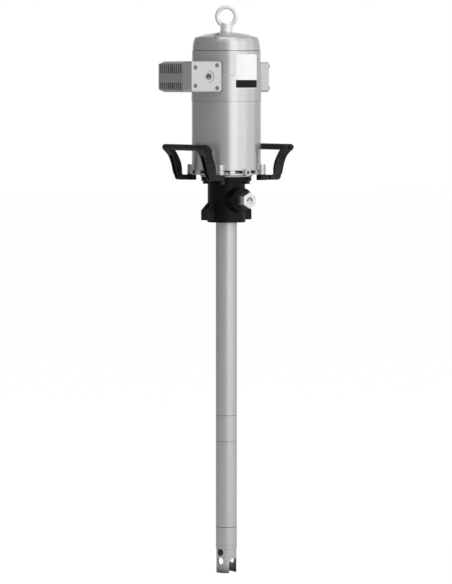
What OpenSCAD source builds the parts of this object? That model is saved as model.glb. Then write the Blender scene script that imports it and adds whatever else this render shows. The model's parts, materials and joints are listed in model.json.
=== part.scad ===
// Pneumatic grease pump: an air motor with two lifting handles on a cast outlet body,
// and a long drum tube with a ball-valve pump and a slotted inlet foot at its lower end.
// Z is up, the air inlet, label and grease outlet face -Y, and the valve block is on the -X side.
// The origin is the centre of the outlet body's underside, where the drum tube comes out.

/* [Air cylinder] */
// Outer radius of the air cylinder
cylinder_r = 68.8; // [66:0.2:72]
// Wall of the air cylinder
cylinder_wall = 6.8; // [5:0.2:9]
// Length of the air cylinder
cylinder_len = 136.6; // [132:0.2:160]
// Height of the four lugs at the cylinder's foot
lug_h = 11; // [8:0.5:16]
// Radius of each lug
lug_r = 8.5; // [7.5:0.5:10]
// How far the lug bolts stand outside the cylinder's surface
lug_out = 1.7; // [1:0.1:4]

/* [Motor head] */
// Height of the head casting
head_h = 99.4; // [96:0.2:115]
// How far the head's lower band stands proud of the cylinder
head_band = 0.7; // [0.4:0.1:2]
// How far the upper part of the head is drawn in from the band
head_step = 1.3; // [0.5:0.1:3]
// Height of the lower band
band_h = 50.4; // [40:0.2:60]
// Depth of the spigot that enters the cylinder
spigot_h = 10; // [8:0.5:14]
// Radius of the hollow for the piston nut in the spigot
nut_room_r = 22; // [20:0.5:28]
// Thickness of the label film
label_t = 0.5; // [0.4:0.1:1]
// Height of the label
label_h = 67; // [50:1:68]
// Turn of the label's middle from the front, in degrees
label_turn = 2.5; // [-5:0.5:5]
// Half of the angle that the label covers
label_half = 21.5; // [15:0.5:23]

/* [Top cap] */
// Height of the cap at its middle
cap_h = 36; // [34:0.5:44]
// Wall of the cap
cap_wall = 7; // [5:0.5:9]
// Thickness of the gasket under the cap
gasket_t = 1; // [0.6:0.1:2]
// Radius of the circle of cap screws
cap_screw_pcd_r = 40; // [38:0.5:44]
// Outer radius of the lifting ring
eye_r = 22.6; // [21:0.1:26]
// Radius of the round bar of the lifting ring
eye_bar_r = 4.1; // [3.6:0.1:5.5]
// Radius of the lifting eye's neck where it stands on the cap
eye_neck_r = 12.4; // [11:0.2:15]
// Height of the neck
eye_neck_h = 18.5; // [16:0.5:22]
// Turn of the lifting ring about its shank, in degrees
eye_turn = -35; // [-90:5:90]

/* [Valve block] */
// Length of the valve block and both of its end pieces
block_front = 55.5; // [52:0.5:58]
// Reach of the valve block behind the axis
block_rear = 60; // [56:0.5:64]
// Height of the valve block
block_h = 61; // [58:0.5:64]
// Distance of the block's outer face from the pump's axis
block_out = 122; // [116:0.5:130]
// Height of the block's middle above the head's lower edge
block_z = 48.4; // [46:0.2:52]
// Width of the long chamfers, across the block
chamfer_w = 14; // [10:0.5:18]
// Height of the long chamfers
chamfer_h = 5.5; // [4:0.5:9]
// Radius of the inlet block's four corners, seen from the front
corner_r = 6; // [4:0.5:8]
// Depth of the seat cut in the head for the block
seat_depth = 21.8; // [20:0.1:24]
// Length of the front inlet block
inlet_len = 29.5; // [26:0.5:34]
// Thickness of the rear end plate
rear_t = 8; // [6:0.5:10]
// Radius of the air inlet's bore
air_port_r = 6.5; // [5:0.1:8]
// Depth of the air inlet's bore
air_port_len = 20; // [15:0.5:24]
// Radius of the valve spool's lands
spool_r = 9; // [8:0.5:10]
// Travel of the valve spool
spool_travel = 8; // [5:0.5:10]

/* [Silencer cover] */
// Wall of the silencer cover
cover_wall = 3; // [2.4:0.2:4]
// Depth of the cover, from the block's outer face inwards
cover_depth = 26; // [22:0.5:30]
// Distance between two slots
slot_pitch = 7; // [6:0.25:9]
// Width of a slot
slot_w = 3.2; // [2:0.2:4]

/* [Pilot cover] */
// Height of the pilot valve's cover
pilot_h = 59.5; // [56:0.5:62]
// Half of the cover's width
pilot_half = 33; // [30:0.5:35]
// Distance of the cover's face from the axis
pilot_out = 80.6; // [78:0.2:90]
// Depth of the seat cut in the head for the cover
pilot_seat = 11.5; // [10:0.5:14]

/* [Motor flange] */
// How far the flange disc stands proud of the cylinder
flange_proud = 1.2; // [0.6:0.1:3]
// Thickness of the flange disc
flange_t = 9; // [8:0.5:12]
// Radius of the flange's foot ring
foot_ring_r = 52; // [50.5:0.5:56]
// Height of the flange's foot ring
foot_ring_h = 4; // [3:0.5:6]
// Radius of the drain boss
drain_boss_r = 7; // [6:0.5:8]

/* [Handles] */
// Distance of the grip's middle from the pump's axis, sideways
grip_x = 101.5; // [98:0.5:112]
// Height of the grip's middle above the flange's lugs
grip_rise = 54.5; // [50:0.5:64]
// Radius of the grip
grip_r = 6.2; // [6:0.1:8]
// Reach of the grip's bar ahead of the axis
grip_front = 83; // [80:0.5:92]
// Reach of the grip's bar behind the axis
grip_rear = 72; // [70:0.5:80]
// Distance of the front arm's middle from the axis
arm_front_y = 59; // [56:0.5:62]
// Distance of the rear arm's middle from the axis
arm_rear_y = 50; // [49:0.5:56]
// Thickness of each handle arm, along the grip
arm_t = 15; // [13:0.5:16]
// Width of an arm's upright part, seen along the grip
arm_w = 18; // [16:0.5:19]
// Thickness of an arm's outer flange, which is wider than the rest of the arm
arm_wall = 3.5; // [3:0.5:4]
// How far the rest of the arm is drawn in from that flange's inner edge
arm_inset = 6; // [4:0.5:7]
// Width of the groove in the outer edge of an arm
groove_w = 8; // [6:0.5:8]
// Depth of that groove
groove_d = 7; // [5:0.5:7]
// Thickness of the handle's feet
foot_t = 11; // [10:0.5:12]
// Radius of the pad under each lug
pad_r = 9.5; // [9:0.5:12]

/* [Outlet body] */
// Height of the outlet body
body_h = 91; // [88:0.5:100]
// Radius of the body's upper flange
body_flange_r = 50; // [49:0.5:51]
// Thickness of the body's upper flange
body_flange_t = 9; // [8:0.5:12]
// Radius of the body's neck
neck_r = 37.4; // [36:0.1:37.5]
// Radius of the body's base
base_r = 38; // [37.6:0.1:44]
// Height of the body's base
base_h = 24; // [18:0.5:26]
// Half length over the two mounting ears
ear_x = 53; // [52:0.5:58]
// Half of the ears' width
ear_half = 12; // [10:0.5:14]
// Half of the distance between the two mounting holes
ear_hole_x = 44.5; // [44:0.5:46]
// Height of the outlet's axis
outlet_z = 45; // [43:0.5:47]
// Radius of the outlet boss
outlet_boss_r = 24; // [22:0.5:24.5]
// Reach of the outlet boss
outlet_boss_y = 57; // [54:0.5:62]
// Width across flats of the outlet fitting
fitting_af = 28; // [24:0.5:30]
// Length of the outlet fitting's hexagon
fitting_len = 24; // [20:0.5:30]
// Radius of the outlet's bore
outlet_bore_r = 6.5; // [5:0.1:8]

/* [Drum tube] */
// Outer radius of the drum tube
tube_r = 21; // [20:0.1:23]
// Wall of the drum tube
tube_wall = 4.5; // [4:0.1:5]
// Length of the drum tube below the outlet body
tube_len = 386; // [300:1:600]
// Length of the coupling sleeve
sleeve_len = 52; // [44:1:70]
// Length of each threaded end that enters a coupling
joint_len = 12; // [10:0.5:16]

/* [Pump end] */
// Length of the pump cylinder
pump_len = 172; // [160:1:200]
// Radius of the pump cylinder's bore
pump_bore_r = 15; // [13:0.1:15.5]
// Length of the foot valve's housing
housing_len = 44; // [42:0.5:55]
// Length of the inlet foot
foot_len = 48; // [46:0.5:60]
// Outer radius of the inlet foot
foot_r = 20.1; // [19:0.1:20.5]
// Wall of the inlet foot
foot_wall = 3.6; // [3:0.1:4]
// Turn of the foot's notches from the front, in degrees
foot_turn = 16; // [-90:1:90]
// Radius of the round inlet holes
inlet_hole_r = 7.2; // [6:0.1:7.5]
// Height of the lower inlet holes above the foot's lower edge
hole_low = 24; // [22:0.5:26]
// Distance between the lower and the upper inlet holes
hole_pitch = 17; // [15.5:0.5:17]
// Half of the notch's width
notch_half = 11.5; // [8:0.5:12]
// Height of the notch's arched top above the foot's lower edge
notch_h = 30; // [24:0.5:32]

/* [Moving parts] */
// Stroke of the air piston and the pump piston
stroke = 100; // [60:1:100]
// Thickness of the air piston
piston_t = 20; // [16:0.5:20]
// Radius of the air piston's rod
rod_r = 12; // [11:0.1:13]
// Radius of the connecting rod
link_r = 8; // [7:0.1:9]
// Length of the pump piston
pump_piston_len = 34; // [32:0.5:40]
// Radius of the pump piston's ball
piston_ball_r = 6; // [5:0.1:7]
// Radius of the foot valve's ball
foot_ball_r = 9.5; // [8:0.1:10]

/* [Clearances] */
// Radial clearance of running and screwed fits
fit = 0.05; // [0.02:0.01:0.1]
// Gap between curved faces of different pieces
gap = 0.3; // [0.2:0.05:0.5]

/* [Hidden] */
$fn = 96;
// Overshoot of cuts, and the depth by which pieces of one solid run into each other
e = 1;

// Lifting eye
eye_shank_r = 8;
eye_shank_len = cap_h + gasket_t + 20;
eye_sink = 1.6;
eye_web_t = 7;

// Heights of the stacked pieces, from the outlet body up
ring_z = body_h;
disc_z = ring_z + foot_ring_h;
cyl_z = disc_z + flange_t;
head_z = cyl_z + cylinder_len;
head_top = head_z + head_h;
cap_z = head_top + gasket_t;
cap_top = cap_z + cap_h;
ring_eye_z = cap_top + eye_neck_h - eye_sink + eye_r - 2 * eye_bar_r;

// Radii that follow the air cylinder
bore_r = cylinder_r - cylinder_wall;
flange_r = cylinder_r + flange_proud;
band_r = cylinder_r + head_band;
head_r = band_r - head_step;
lug_pcd_r = cylinder_r + lug_out;
lug_xy = lug_pcd_r * cos(45);
pad_label_r = band_r - 0.05;
cap_r = head_r - 0.8;

// Screw sizes
m5_r = 2.5;
m6_r = 3;
m8_r = 4;
m5_head_r = 4.25;
m5_head_h = 4;
m5_sink = 4;
cover_head_h = 3;
m6_head_r = 5;
m6_head_h = 6;
m8_head_r = 6.5;
m8_head_h = 5.5;
bite = 9;
tap_depth = 13;
vent_r = 4.5;
vent_turn = -52;
vent_tilt = 38;
vent_in = 15;
vent_drop = 16;
vent_len = 13.5;
vent_seat = 6;
cap_pocket = 10;

// Handles
lug_face = disc_z;
lug_step = 0.4;
pad_step = 0.5;
grip_z = lug_face + grip_rise;
arm_low_z = lug_face - foot_t;
arm_out_x = grip_x - 15.5;
arm_in_x = arm_out_x + 3.6 - arm_w;
heel_r = 8;
sink = 6;
rim_r = 4.5;
core_r = grip_r - 2;
sleeve_y0 = -arm_front_y + arm_t / 2 + gap;
sleeve_y1 = arm_rear_y - arm_t / 2 - gap;

// Drain at the front of the flange
drain_out = 5;
drain_rise = 5;
drain_r = 4;

// Air ways
air_way_r = 5;
air_way_x = 34;

// Valve block
block_mid = head_z + block_z;
seat_x = band_r - seat_depth;
block_in = seat_x + gasket_t;
split_y = -block_front + inlet_len;
rear_y = block_rear - rear_t;
core_out = block_out - cover_depth;
air_port_x = 80;
port_face_r = 12;
port_face_t = 1;
gasket_in = 2;
gasket_way_r = 14;
spool_x = (block_in + core_out) / 2;
land_len = 10;
spool_len = rear_y - split_y - 2 * gap - spool_travel;
spool_lands = [0, (spool_len - land_len) / 2, spool_len - land_len];
end_screw_z = block_h / 2 - 8.5;
face_screw_x = [block_out - 9.5, block_in + 12.3];
face_screw_z = [block_h / 2 - 12.5, block_h / 2 - 8.1];

// Silencer cover
web_t = 8;
post_r = 5.5;
upper_slot = [6.5, block_h / 2 - 3.5];
lower_slot = [-block_h / 2 + 3.5, -12];
cover_screw_z = block_h / 2 - 12.8;
cover_screw_y = 15;
cover_len = block_rear - split_y;
slot_count = floor((cover_len - 8) / slot_pitch);
slot_y0 = split_y + (cover_len - (slot_count - 1) * slot_pitch - slot_w) / 2;
slot_reach = 12;

// Pilot cover
pilot_seat_x = band_r - pilot_seat;
pilot_in = pilot_seat_x + gasket_t;
pilot_mid = block_mid - 0.7;
pilot_room = [20, 17];
pilot_room_t = 9;
pilot_screw_y = pilot_half - 7;
pilot_screw_z = pilot_h / 2 - 8;

// Lower end, from the outlet body down
sleeve_z = -tube_len;
pump_z = sleeve_z - sleeve_len;
housing_z = pump_z - pump_len;
foot_z = housing_z - housing_len;
foot_end = foot_z - foot_len;
tube_bore_r = tube_r - tube_wall;
joint_r = tube_r - 2;
spigot_r = joint_r - fit;
seal_in = 5.5;

// Glands and chambers in the outlet body
body_screw_r = neck_r + m6_head_r + 0.1;
ear_slope_top = 40;
ear_spot_r = 6.6;
ear_low = 4.5;
ear_top = base_h - 0.5;
tube_recess = 0.5;
tube_seat_z = 24;
chamber_r = tube_bore_r;
packing_z = 62;
packing_h = 12;
packing_r = 19;
gland_z = packing_z + packing_h;
gland_r = 22;
bush_r = 20;

// Air piston at the lower end of its stroke
piston_z = cyl_z + gap;
nut_h = 12;
nut_af = 30;
rod_below = 34;
rod_low = packing_z - stroke - rod_below;
coupling_len = 40;
coupling_r = 14;
rod_joint = 12;
trip_r = 3.5;
trip_bore_r = 4.5;
trip_low = cyl_z + 6;
trip_travel = 6;

// Pump piston at the lower end of its stroke
pump_piston_z = housing_z + 12;
piston_seat_h = 8;
piston_seat_r = 4.5;
piston_ball_rise = sqrt(pow(piston_ball_r, 2) - pow(piston_seat_r, 2)) + fit;
piston_chamber_r = piston_ball_r + 1.5;
ball_lift = 5;
chamber_h = piston_seat_h + piston_ball_rise + piston_ball_r + ball_lift + 1;

// Foot valve
valve_seat_h = 6;
valve_seat_r = joint_r - 2;
valve_hole_r = foot_ball_r - 1.5;
valve_seat_z = foot_z + 8;
chamber_top = housing_z - joint_len;
foot_ball_rise = sqrt(pow(foot_ball_r, 2) - pow(valve_hole_r, 2)) + fit;
foot_ball_z = valve_seat_z + valve_seat_h + foot_ball_rise;
valve_chamber_r = foot_ball_r + 4;
stop_pin_r = 2;
stop_pin_z = foot_ball_z + foot_ball_r + ball_lift + stop_pin_r;

// A round solid between two heights
module disc(r, z0, z1) {
    translate([0, 0, z0]) cylinder(r = r, h = z1 - z0);
}

// A ring between two heights
module ring(r_out, r_in, z0, z1) {
    difference() {
        disc(r_out, z0, z1);
        disc(r_in, z0 - e, z1 + e);
    }
}

// A section drawn across X and Z, drawn out from y0 to y1
module along_y(y0, y1) {
    translate([0, y1, 0]) rotate([90, 0, 0]) linear_extrude(y1 - y0) children();
}

// Repeats its children at the four lugs
module at_lugs() {
    for (a = [45:90:315]) rotate(a) translate([lug_pcd_r, 0, 0]) children();
}

// A socket-head screw that points up, with the bearing face of its head at zero
module socket_screw(r, head_r, head_h, len) {
    difference() {
        union() {
            translate([0, 0, -head_h]) cylinder(r = head_r, h = head_h);
            cylinder(r = r - fit, h = len);
        }
        translate([0, 0, -head_h - e]) cylinder(r = head_r * 0.55, h = head_h * 0.5 + e, $fn = 6);
    }
}

// A seal ring of square section, which lies in its groove
module seal_ring(r_out, r_in, z, h) {
    ring(r_out, r_in, z, z + h);
}

module lifting_eye() {
    loop_r = eye_r - 2 * eye_bar_r;
    loop_z = ring_eye_z - cap_top;
    color("gainsboro") translate([0, 0, cap_top]) rotate(eye_turn) {
        difference() {
            union() {
                // The neck, and the webs that run from it into the ring
                rotate_extrude() polygon([[0, 0], [eye_neck_r, 0], [eye_neck_r, 3], [eye_neck_r - 1.4, 7],
                    [eye_neck_r - 1.8, eye_neck_h], [0, eye_neck_h]]);
                along_y(-eye_web_t / 2, eye_web_t / 2) polygon([[-eye_neck_r + 1, 6], [eye_neck_r - 1, 6],
                    [loop_r + 1, loop_z - 9], [-loop_r - 1, loop_z - 9]]);
            }
            translate([0, 2 * eye_neck_r, loop_z]) rotate([90, 0, 0])
                cylinder(r = loop_r - 0.5, h = 4 * eye_neck_r);
        }
        translate([0, 0, loop_z]) rotate([90, 0, 0]) rotate_extrude()
            translate([eye_r - eye_bar_r, 0]) circle(eye_bar_r);
        translate([0, 0, -eye_shank_len]) cylinder(r = eye_shank_r - fit, h = eye_shank_len + e);
    }
}

// Half section of the cap's outside: a wall drawn in towards a sharp shoulder, and a shallow dome
function cap_profile(r, top, low) = concat([[0, low], [r, low], [r - 0.4, low + 8], [r - 1.6, low + 16]],
    [for (a = [10:20:70]) [r - 8.6 + 5 * cos(a), top - 14 + 5 * sin(a)]],
    [[r - 22, top - 5.2], [r - 38, top - 1.6], [eye_neck_r + 2, top], [0, top]]);

module top_cap() {
    color("silver") difference() {
        union() {
            rotate_extrude() polygon(cap_profile(cap_r, cap_top, cap_z));
            at_vent() cylinder(r = vent_r + 2.5, h = vent_len);
        }
        difference() {
            disc(cap_r - cap_wall - 2, cap_z - e, cap_top - cap_wall - 6);
            disc(eye_shank_r + 6, cap_z - 2 * e, cap_top);
            for (a = [45:90:315]) rotate(a) translate([cap_screw_pcd_r, 0, 0])
                disc(7, cap_z - 2 * e, cap_top);
        }
        disc(eye_shank_r, cap_z - e, cap_top + e);
        for (a = [45:90:315]) rotate(a) translate([cap_screw_pcd_r, 0, 0]) {
            disc(m6_r + gap, cap_z - e, cap_top);
            disc(m6_head_r + gap, cap_top - cap_pocket, cap_top + e);
        }
        at_vent() translate([0, 0, vent_seat]) cylinder(r = vent_r, h = vent_len);
    }
}

// Places its children on the vent's tilted axis
module at_vent() {
    rotate(vent_turn) translate([0, -cap_r + vent_in, cap_top - vent_drop])
        rotate([vent_tilt, 0, 0]) children();
}

module cap_gasket() {
    color("dimgray") difference() {
        disc(cap_r - 0.6, head_top, cap_z);
        disc(eye_shank_r + gap, head_top - e, cap_z + e);
        for (a = [45:90:315]) rotate(a) translate([cap_screw_pcd_r, 0, 0])
            disc(m6_r + gap, head_top - e, cap_z + e);
    }
}

module cap_screws() {
    color("silver") for (a = [45:90:315]) rotate(a) translate([cap_screw_pcd_r, 0, cap_top - cap_pocket])
        mirror([0, 0, 1]) socket_screw(m6_r, m6_head_r, m6_head_h, cap_h - cap_pocket + gasket_t + bite);
}

module vent_plug() {
    color("dimgray") at_vent() difference() {
        translate([0, 0, vent_seat]) cylinder(r = vent_r - fit, h = vent_len - vent_seat - 0.5);
        translate([0, 0, vent_seat + 3.5]) cylinder(r = 2.6, h = vent_len, $fn = 6);
    }
}

module motor_head() {
    color("silver") difference() {
        union() {
            disc(band_r, head_z, head_z + band_h);
            translate([0, 0, head_z + band_h]) cylinder(r1 = band_r, r2 = head_r, h = head_step);
            disc(head_r, head_z + band_h, head_top);
            disc(bore_r - fit, head_z - spigot_h, head_z + e);
            label_pad(pad_label_r, head_r - 2, label_half + 3, head_z + band_h - 1, head_top - 2);
        }
        // Seats for the valve block and the pilot cover
        translate([-band_r - 2 * e, -block_front - e, block_mid - block_h / 2 - gap])
            cube([seat_depth + 2 * e, block_front + block_rear + 2 * e, block_h + 2 * gap]);
        translate([pilot_seat_x, -pilot_half - gap, pilot_mid - pilot_h / 2 - gap])
            cube([pilot_seat + 5, 2 * (pilot_half + gap), pilot_h + 2 * gap]);
        // Hollow for the piston nut, trip rod and air ways
        disc(nut_room_r, head_z - spigot_h - e, head_z + 6);
        disc(trip_r + 2 * fit, head_z, block_mid + trip_travel + 2);
        translate([-seat_x - e, 0, block_mid]) rotate([0, 90, 0])
            cylinder(r = air_way_r, h = seat_x + pilot_seat_x + 2 * e);
        translate([-air_way_x, 0, head_z - spigot_h - e]) cylinder(r = air_way_r, h = block_z + spigot_h + e);
        // Groove of the seal
        ring(bore_r + e, bore_r - 3, head_z - 7, head_z - 4);
        // Threads for the eye, the cap screws and the cover screws
        disc(eye_shank_r, head_top - 21, head_top + e);
        for (a = [45:90:315]) rotate(a) translate([cap_screw_pcd_r, 0, 0])
            disc(m6_r, head_top - tap_depth, head_top + e);
        for (y = [-1, 1], z = [-1, 1])
            translate([pilot_seat_x - tap_depth, y * pilot_screw_y, pilot_mid + z * pilot_screw_z])
                rotate([0, 90, 0]) cylinder(r = m5_r, h = tap_depth + e);
    }
}

// A curved sector on the front of the head, between two radii and two heights
module label_pad(r_out, r_in, half, z0, z1) {
    translate([0, 0, z0]) rotate(-90 + label_turn - half)
        rotate_extrude(angle = 2 * half) translate([r_in, 0]) square([r_out - r_in, z1 - z0]);
}

module label_plate() {
    label_z = block_mid + 10.5 - label_h / 2;
    color("white") label_pad(band_r + fit + label_t, band_r + fit, label_half, label_z, label_z + label_h);
}

module head_seal() {
    color("black") seal_ring(bore_r - fit, bore_r - 3 + fit, head_z - 7, 3);
}

module air_cylinder() {
    color("silver") difference() {
        union() {
            disc(cylinder_r, cyl_z, head_z);
            difference() {
                at_lugs() disc(lug_r, cyl_z + lug_step, cyl_z + lug_h);
                disc(cylinder_r - 2, cyl_z - e, cyl_z + lug_h + e);
            }
        }
        disc(bore_r, cyl_z - e, head_z + e);
        at_lugs() disc(m8_r, cyl_z - e, cyl_z + bite);
    }
}

module flange_seal() {
    color("black") seal_ring(bore_r - fit, bore_r - 3 + fit, cyl_z - 3, 3 - gap);
}

// Windows under the cylinder's edge, mirrored about each lug's middle line
module rim_windows() {
    for (a = [0:90:270], side = [-1, 1]) {
        rotate(a - 90 + side * 14) translate([flange_r - 9, -8, disc_z + 2.5]) cube([12, 16, flange_t]);
        rotate(a - 90 + side * 33.5) translate([flange_r - 9, -5.5, disc_z - e])
            cube([12, 11, flange_t + 2 * e]);
    }
}

module lower_flange() {
    color("silver") difference() {
        union() {
            disc(flange_r, disc_z, cyl_z);
            disc(foot_ring_r, ring_z, disc_z + e);
            at_lugs() disc(lug_r, disc_z, cyl_z);
            drain_boss();
        }
        difference() {
            rim_windows();
            drain_boss();
        }
        disc(bush_r, disc_z - 1, cyl_z + e);
        disc(rod_r + 1, ring_z - e, disc_z);
        ring(bore_r, bore_r - 3, cyl_z - 3, cyl_z + e);
        at_lugs() disc(m8_r + gap, disc_z - e, cyl_z + e);
        for (a = [45:90:315]) rotate(a) translate([body_screw_r, 0, 0])
            disc(m6_r, ring_z - e, ring_z + bite + 1);
        at_drain() translate([0, 0, -e]) cylinder(r = drain_r, h = 8);
    }
}

// Places its children on the drain's axis, pointing inwards
module at_drain() {
    translate([0, -flange_r - drain_out, disc_z + drain_rise]) rotate([-90, 0, 0]) children();
}

// The drain boss at the front, cut back to clear the cylinder
module drain_boss() {
    difference() {
        at_drain() cylinder(r = drain_boss_r, h = 16);
        disc(cylinder_r + gap, cyl_z, cyl_z + 20);
        disc(flange_r - 10, disc_z - 20, disc_z + 20);
    }
}

module drain_plug() {
    color("dimgray") at_drain() difference() {
        translate([0, 0, -0.5]) cylinder(r = drain_r - fit, h = 7.5);
        translate([0, 0, -e - 0.5]) cylinder(r = 2.3, h = 4, $fn = 6);
    }
}

module rod_bushing() {
    color("goldenrod") ring(bush_r - fit, rod_r + fit, disc_z - 1, cyl_z - 5);
}

module rod_seal() {
    color("black") ring(bush_r - fit, rod_r + fit, cyl_z - 5, cyl_z - gap);
}

// The block's outline across X and Z, with the long chamfers at its outer side, drawn in by inset
module block_outline(x_in, x_out, inset = 0) {
    h = block_h / 2 - inset;
    slope = chamfer_h / chamfer_w;
    x_face = block_out - inset;
    x_edge = x_face - chamfer_w + inset * 0.45;
    out_h = h - max(0, (min(x_out, x_face) - x_edge) * slope);
    polygon(x_out > x_edge
        ? [[-x_in, -h], [-x_in, h], [-x_edge, h], [-x_out, out_h], [-x_out, -out_h], [-x_edge, -h]]
        : [[-x_in, -h], [-x_in, h], [-x_out, h], [-x_out, -h]]);
}

module valve_block() {
    color("lightgray") difference() {
        union() {
            translate([0, 0, block_mid]) along_y(split_y, rear_y) block_outline(block_in, core_out);
            // Web at the front end, which the cover fits over and the outer inlet screws thread into
            translate([0, 0, block_mid]) along_y(split_y, split_y + web_t)
                block_outline(core_out - e, block_out - cover_wall - 1, cover_wall + gap);
        }
        // Bore of the spool, from end to end
        translate([-spool_x, rear_y + e, block_mid]) rotate([90, 0, 0])
            cylinder(r = spool_r + fit, h = rear_y - split_y + 2 * e);
        // Way to the head and exhaust ways to the silencer
        translate([-spool_x, 8, block_mid]) rotate([0, 90, 0]) cylinder(r = air_way_r, h = spool_x);
        for (y = [-12, 24]) translate([-core_out - e, y, block_mid]) rotate([0, 90, 0])
            cylinder(r = 6, h = core_out - spool_x + e);
        for (x = [0, 1], z = [-1, 1])
            translate([-face_screw_x[x], split_y - e, block_mid + z * face_screw_z[x]])
            rotate([-90, 0, 0]) cylinder(r = m5_r, h = tap_depth + e);
        for (z = [-1, 1]) translate([-core_out - e, cover_screw_y, block_mid + z * cover_screw_z])
            rotate([0, 90, 0]) cylinder(r = m5_r, h = tap_depth + e);
        for (z = [-1, 1], x = [block_in + 8, core_out - 8])
            translate([-x, rear_y + e, block_mid + z * end_screw_z])
            rotate([90, 0, 0]) cylinder(r = m5_r, h = tap_depth + e);
    }
}

module block_gasket() {
    color("dimgray") difference() {
        translate([-block_in, -block_front + gasket_in, block_mid - block_h / 2 + gasket_in])
            cube([gasket_t, block_front + block_rear - 2 * gasket_in, block_h - 2 * gasket_in]);
        translate([-block_in - e, 0, block_mid]) rotate([0, 90, 0])
            cylinder(r = gasket_way_r, h = gasket_t + 2 * e);
    }
}

module inlet_block() {
    color("gainsboro") difference() {
        translate([-(block_in + block_out) / 2, 0, block_mid]) along_y(-block_front, split_y)
            rounded_plate((block_out - block_in) / 2, block_h / 2, corner_r);
        translate([-air_port_x, -block_front - e, block_mid]) rotate([-90, 0, 0]) {
            cylinder(r = air_port_r, h = air_port_len + e);
            cylinder(r = port_face_r, h = port_face_t + e);
        }
        translate([-spool_x, -block_front + air_port_len - 2, block_mid]) rotate([-90, 0, 0])
            cylinder(r = spool_r - 2, h = inlet_len - air_port_len + 2 + e);
        for (x = [0, 1], z = [-1, 1])
            translate([-face_screw_x[x], -block_front - e, block_mid + z * face_screw_z[x]])
                rotate([-90, 0, 0]) {
                cylinder(r = m5_r + gap, h = inlet_len + 2 * e);
                cylinder(r = m5_head_r + gap, h = m5_sink + e);
            }
    }
}

module inlet_screws() {
    color("silver") for (x = [0, 1], z = [-1, 1])
        translate([-face_screw_x[x], -block_front + m5_sink, block_mid + z * face_screw_z[x]])
            rotate([-90, 0, 0])
            socket_screw(m5_r, m5_head_r, m5_head_h, inlet_len - m5_sink + (x == 0 ? web_t - 1 : bite));
}

module rear_plate() {
    color("lightgray") difference() {
        translate([0, 0, block_mid]) along_y(rear_y, block_rear) block_outline(block_in, core_out);
        for (z = [-1, 1], x = [block_in + 8, core_out - 8])
            translate([-x, block_rear + e, block_mid + z * end_screw_z])
            rotate([90, 0, 0]) cylinder(r = m5_r + gap, h = rear_t + 2 * e);
    }
}

module rear_screws() {
    color("silver") for (z = [-1, 1], x = [block_in + 8, core_out - 8])
        translate([-x, block_rear, block_mid + z * end_screw_z]) rotate([90, 0, 0])
            socket_screw(m5_r, m5_head_r, m5_head_h, rear_t + bite);
}

module valve_spool() {
    color("silver") translate([-spool_x, split_y + gap, block_mid]) rotate([-90, 0, 0]) difference() {
        union() {
            cylinder(r = spool_r - 3.5, h = spool_len);
            for (y = spool_lands) translate([0, 0, y]) cylinder(r = spool_r, h = land_len);
        }
        for (y = spool_lands) translate([0, 0, y + 3.75]) difference() {
            cylinder(r = spool_r + e, h = 2.5);
            translate([0, 0, -e]) cylinder(r = spool_r - 2, h = 4.5);
        }
    }
}

module spool_seals() {
    color("black") translate([-spool_x, split_y + gap, block_mid]) rotate([-90, 0, 0])
        for (y = spool_lands) seal_ring(spool_r, spool_r - 2 + fit, y + 3.8, 2.4);
}

// Posts that carry the cover on the valve block, widened by extra
module cover_posts(r, x0, x1) {
    for (z = [-1, 1]) translate([-x1, cover_screw_y, block_mid + z * cover_screw_z]) rotate([0, 90, 0])
        cylinder(r = r, h = x1 - x0);
}

module silencer_cover() {
    color("darkgray") difference() {
        union() {
            difference() {
                translate([0, 0, block_mid]) along_y(split_y, block_rear) block_outline(core_out, block_out);
                translate([0, 0, block_mid]) along_y(split_y - e, block_rear - cover_wall)
                    block_outline(core_out - e, block_out - cover_wall, cover_wall);
                // Two rows of slots that run over the long chamfers
                for (i = [0:slot_count - 1])
                    translate([-block_out - e, slot_y0 + i * slot_pitch, block_mid]) {
                    translate([0, 0, upper_slot[0]])
                        cube([slot_reach, slot_w, upper_slot[1] - upper_slot[0]]);
                    translate([0, 0, lower_slot[0]])
                        cube([slot_reach, slot_w, lower_slot[1] - lower_slot[0]]);
                }
            }
            cover_posts(post_r, core_out, block_out - 0.5);
        }
        cover_posts(m5_r + gap, core_out - e, block_out + e);
    }
}

module silencer_screws() {
    color("silver") for (z = [-1, 1]) translate([-block_out, cover_screw_y, block_mid + z * cover_screw_z])
        rotate([0, 90, 0]) socket_screw(m5_r, m5_head_r, cover_head_h, cover_depth + bite);
}

module silencer_pad() {
    color("dimgray") difference() {
        translate([0, 0, block_mid]) along_y(split_y + web_t + gap, block_rear - cover_wall - gap)
            block_outline(core_out, block_out - cover_wall - 4, cover_wall + gap);
        cover_posts(post_r + gap, core_out - e, block_out);
    }
}

module pilot_cover() {
    color("gainsboro") difference() {
        translate([pilot_in, 0, pilot_mid]) rotate([90, 0, 90]) linear_extrude(pilot_out - pilot_in)
            rounded_plate(pilot_half, pilot_h / 2, 5);
        translate([pilot_in - e, -pilot_room[0], pilot_mid - pilot_room[1]])
            cube([pilot_room_t + e, 2 * pilot_room[0], 2 * pilot_room[1]]);
        for (y = [-1, 1], z = [-1, 1])
            translate([pilot_in - e, y * pilot_screw_y, pilot_mid + z * pilot_screw_z])
            rotate([0, 90, 0]) cylinder(r = m5_r + gap, h = pilot_out);
    }
}

// A plate outline with round corners, half_w by half_h
module rounded_plate(half_w, half_h, r) {
    for (x = [-1, 1], y = [-1, 1]) translate([x * (half_w - r), y * (half_h - r)]) circle(r);
    square([2 * half_w, 2 * (half_h - r)], center = true);
    square([2 * (half_w - r), 2 * half_h], center = true);
}

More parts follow.
